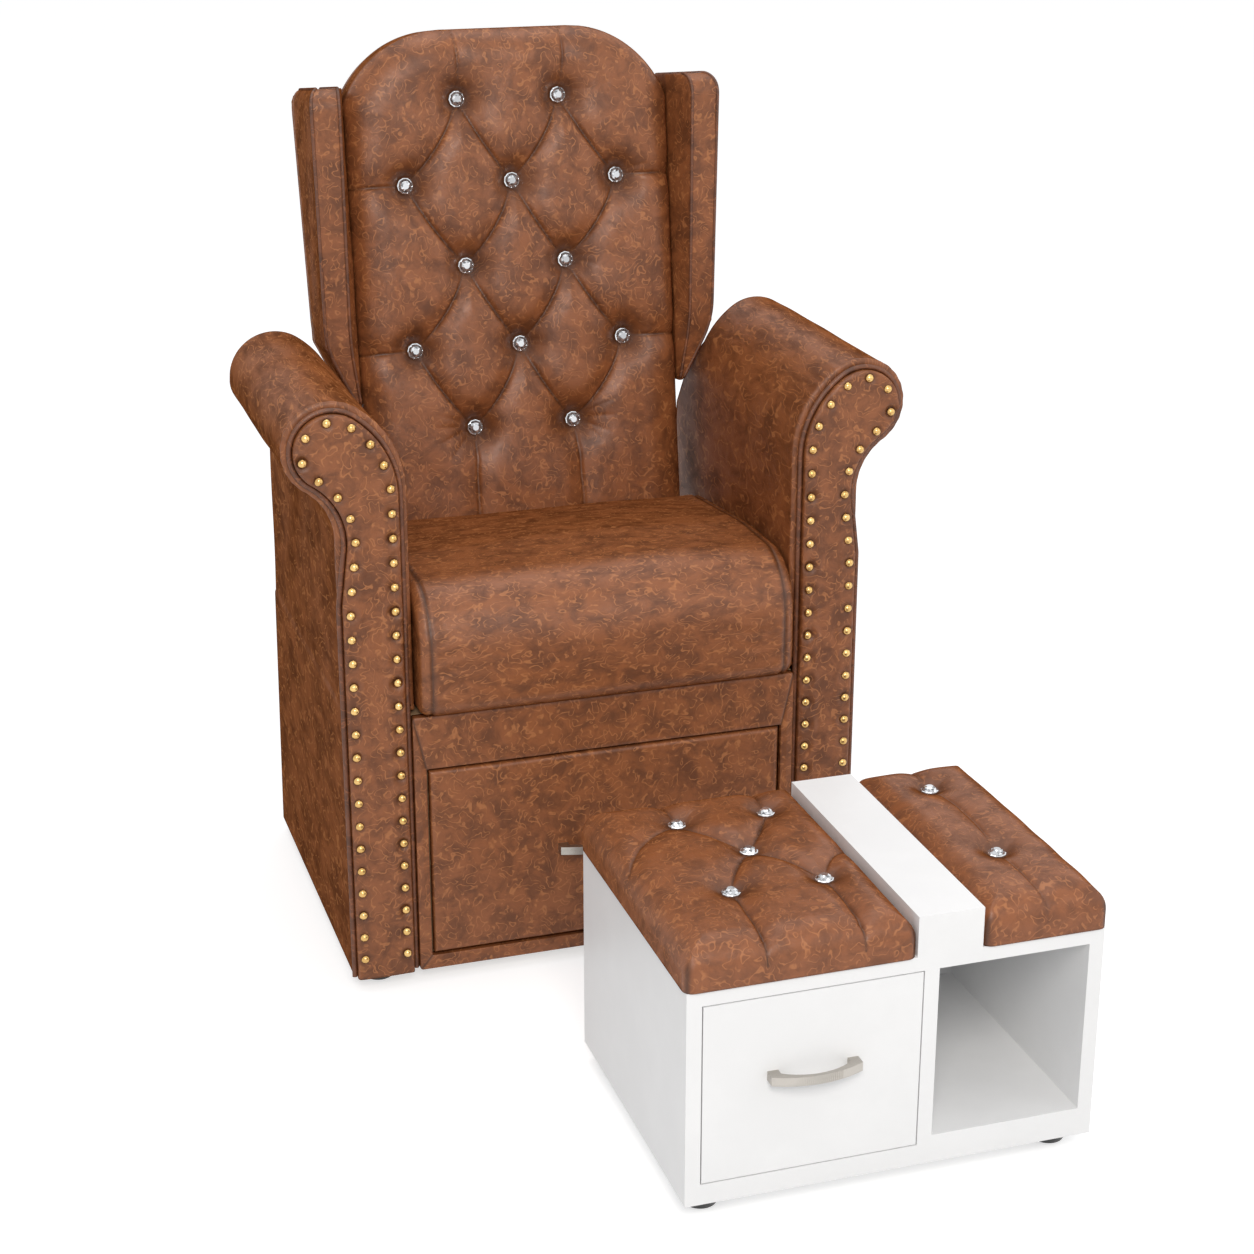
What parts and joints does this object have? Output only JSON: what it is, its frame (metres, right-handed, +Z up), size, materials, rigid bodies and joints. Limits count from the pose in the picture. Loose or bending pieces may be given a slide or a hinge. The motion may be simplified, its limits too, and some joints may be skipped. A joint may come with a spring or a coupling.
{
  "type": "pedicure chair with footstool",
  "caption": "Tufted wingback pedicure chair in brown leather with a drawer, and a white footstool with padded top, drawer and open cubby.",
  "frame": {"origin": "on the floor, under the middle of the box around the chair and its footstool", "axes": "+X to the right of somebody who faces the chair, +Y towards the chair's back, +Z up"},
  "size_m": [0.828, 1.2182, 1.1922],
  "materials": {
    "leather": "satin",
    "white_laminate": "gloss",
    "brass": "polished",
    "crystal": "gloss",
    "nickel": "satin",
    "black_rubber": "matte",
    "wood": "matte",
    "steel": "satin"
  },
  "bodies": {
    "chair_base": {"arm_frame_left": "wood", "arm_pad_left": "leather", "arm_panel_left": "leather", "arm_piping_left": "leather", "arm_frame_right": "wood", "arm_pad_right": "leather", "arm_panel_right": "leather", "arm_piping_right": "leather", "arm_nails": "brass", "face_frame": "wood", "face_frame_pad": "leather", "seat_box_left": "wood", "seat_box_right": "wood", "rear_panel": "wood", "base_board": "wood", "seat_deck": "wood", "seat_springs": "steel", "seat_cushion": "leather", "chair_feet": "black_rubber", "chair_foot_screws": "steel", "hinge_base_plates": "steel", "hinge_pins": "steel", "chair_cabinet_runners": "steel"},
    "backrest": {"back_frame": "wood", "back_cushion": "leather", "back_buttons": "crystal", "back_cover": "leather", "wing_left": "leather", "wing_right": "leather", "wing_piping_left": "leather", "wing_piping_right": "leather", "hinge_back_plates": "steel"},
    "chair_drawer": {"chair_drawer_front": "wood", "chair_drawer_pad": "leather", "chair_drawer_box": "wood", "chair_drawer_bottom": "wood", "chair_drawer_handle": "nickel", "chair_drawer_screws": "steel", "chair_drawer_runners": "steel"},
    "chair_cages": {"chair_ball_cages": "steel"},
    "stool": {"stool_top": "white_laminate", "stool_left_side": "white_laminate", "stool_right_side": "white_laminate", "stool_divider": "white_laminate", "stool_bottom": "white_laminate", "stool_back": "white_laminate", "stool_middle_board": "white_laminate", "stool_wide_pad": "leather", "stool_narrow_pad": "leather", "stool_buttons": "crystal", "stool_feet": "black_rubber", "stool_foot_screws": "steel", "stool_cabinet_runners": "steel"},
    "stool_drawer": {"stool_drawer_front": "white_laminate", "stool_drawer_box": "white_laminate", "stool_drawer_bottom": "white_laminate", "stool_drawer_handle": "nickel", "stool_drawer_screws": "steel", "stool_drawer_runners": "steel"},
    "stool_cages": {"stool_ball_cages": "steel"}
  },
  "joints": [
    {"name": "recline", "type": "hinge", "parent": "chair_base", "child": "backrest", "pos_m": [0, 0.49007, 0.43215], "axis": [-1, 0, 0], "range_deg": [0, 32]},
    {"name": "chair_drawer_slide", "type": "slide", "parent": "chair_base", "child": "chair_drawer", "axis": [0, -1, 0], "range_m": [0, 0.225]},
    {"name": "chair_cage_roll", "type": "slide", "parent": "chair_base", "child": "chair_cages", "axis": [0, -1, 0], "range_m": [0, 0.1125]},
    {"name": "stool_moved", "type": "slide", "parent": "chair_base", "child": "stool", "axis": [0, -1, 0], "range_m": [0, 0.5]},
    {"name": "stool_drawer_slide", "type": "slide", "parent": "stool", "child": "stool_drawer", "axis": [0, -1, 0], "range_m": [0, 0.225]},
    {"name": "stool_cage_roll", "type": "slide", "parent": "stool", "child": "stool_cages", "axis": [0, -1, 0], "range_m": [0, 0.1125]}
  ],
  "couplings": [
    {"joint": "chair_cage_roll", "follows": "chair_drawer_slide", "ratio": 0.5},
    {"joint": "stool_cage_roll", "follows": "stool_drawer_slide", "ratio": 0.5}
  ]
}
